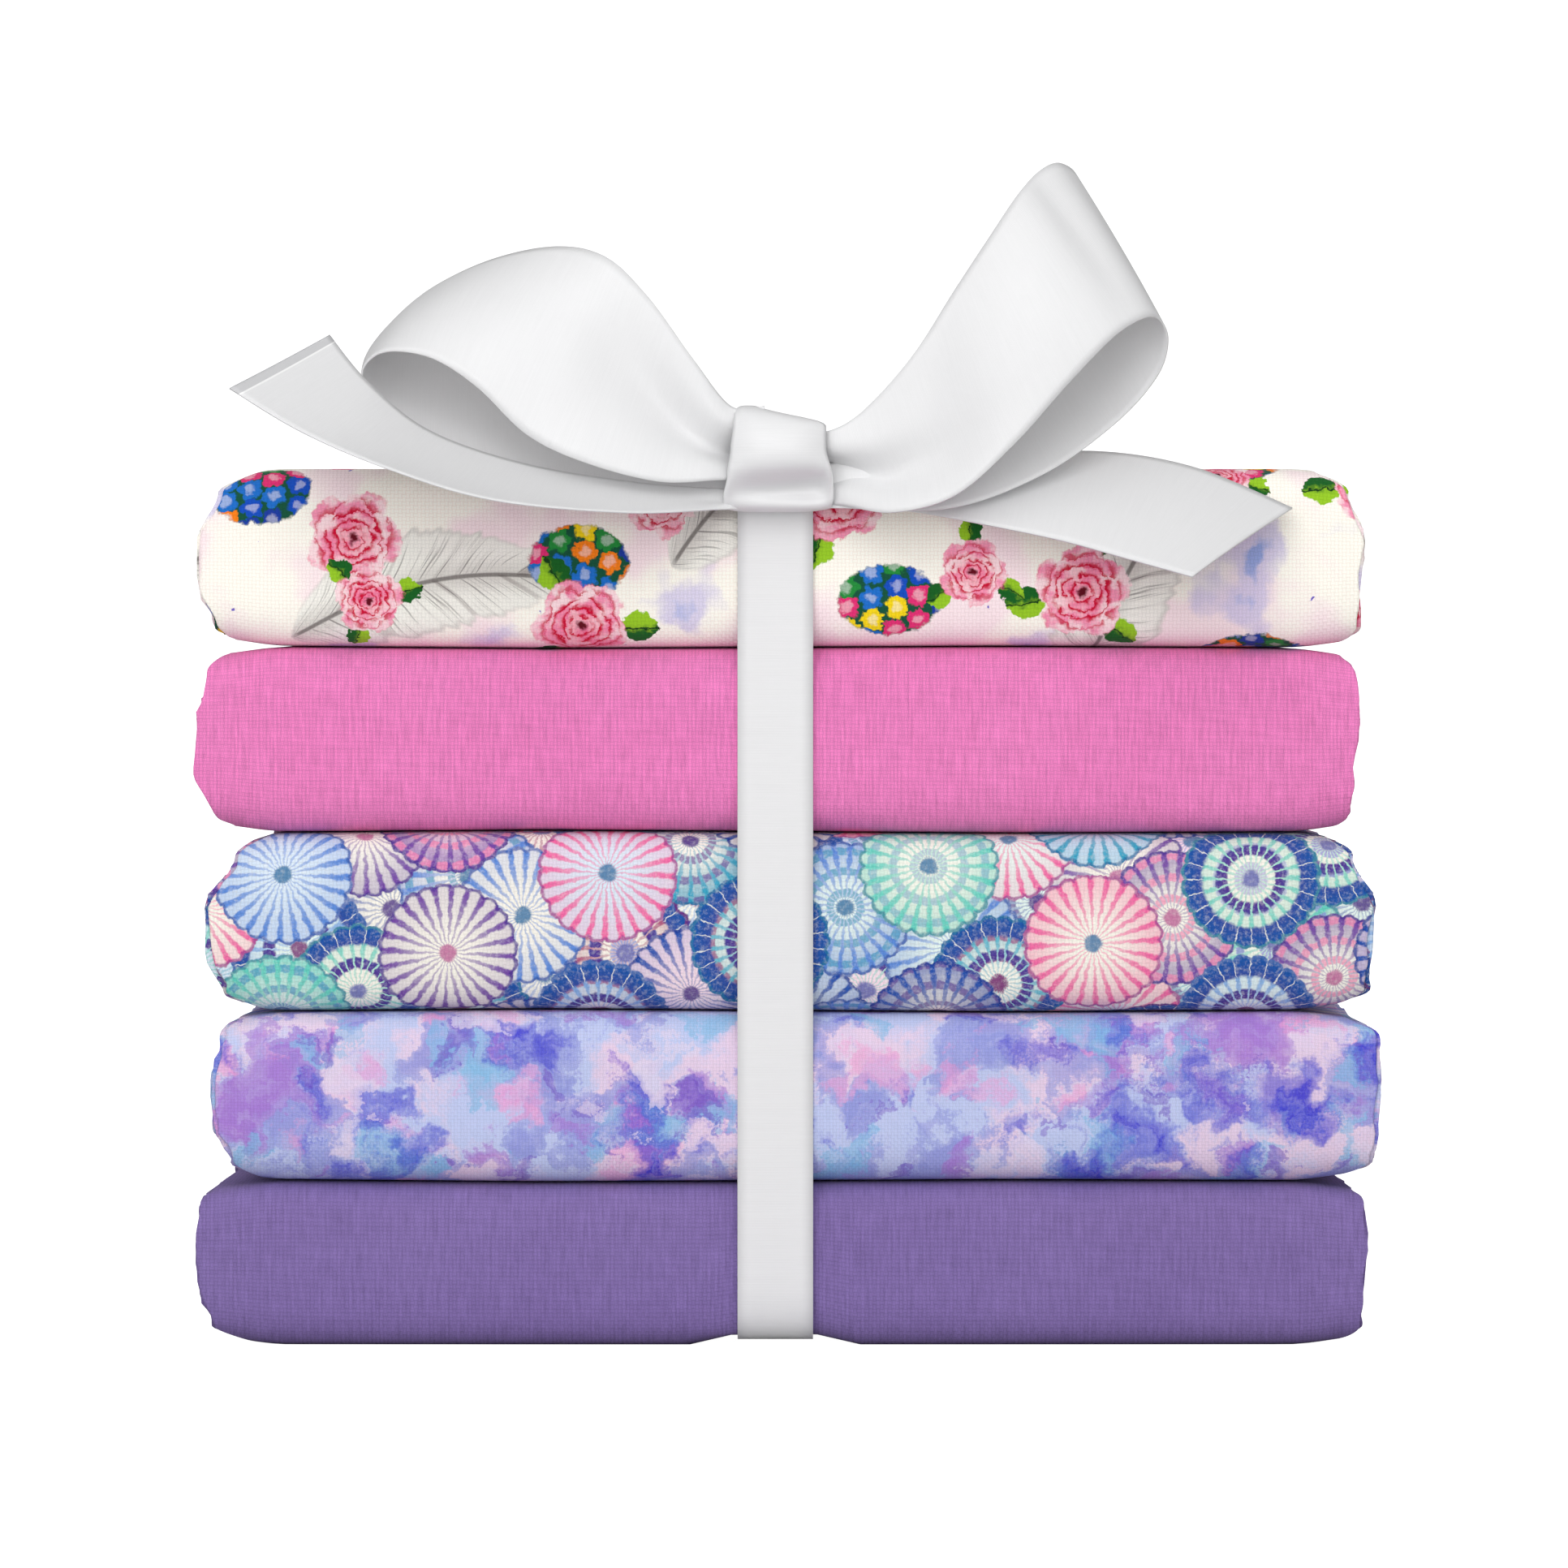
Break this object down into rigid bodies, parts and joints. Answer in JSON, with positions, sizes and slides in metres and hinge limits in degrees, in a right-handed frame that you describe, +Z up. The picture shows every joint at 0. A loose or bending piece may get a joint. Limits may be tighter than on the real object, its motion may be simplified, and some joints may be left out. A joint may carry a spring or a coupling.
{
  "type": "fabric bundle",
  "caption": "Stack of folded cotton cuts with soft rounded fold fronts, bound by a flat satin ribbon that ends in a two-loop bow on the top front edge.",
  "frame": {"origin": "under the middle of the footprint, bow included, on the surface that the stack stands on", "axes": "+Z up through the stack; -Y towards the rounded fold fronts and the bow; +X to the right as the bow is seen"},
  "size_m": [0.1544, 0.1629, 0.1538],
  "materials": {
    "floral_print": "matt printed cotton, cream ground with pink flowers",
    "pink_cotton": "matt plain cotton",
    "rosette_print": "matt printed cotton, overlapping rosettes in blue, teal, pink and cream",
    "clouded_dye": "matt dyed cotton, clouded violet, blue, pink and aqua",
    "violet_cotton": "matt plain cotton",
    "satin": "soft satin ribbon"
  },
  "bodies": {
    "root": {"cloth_floral": "floral_print", "cloth_pink": "pink_cotton", "cloth_rosette": "rosette_print", "cloth_clouded": "clouded_dye", "cloth_violet": "violet_cotton", "ribbon_band": "satin", "bow_knot": "satin", "bow_loop_left": "satin", "bow_loop_right": "satin", "bow_tail_left": "satin", "bow_tail_right": "satin"}
  },
  "joints": []
}
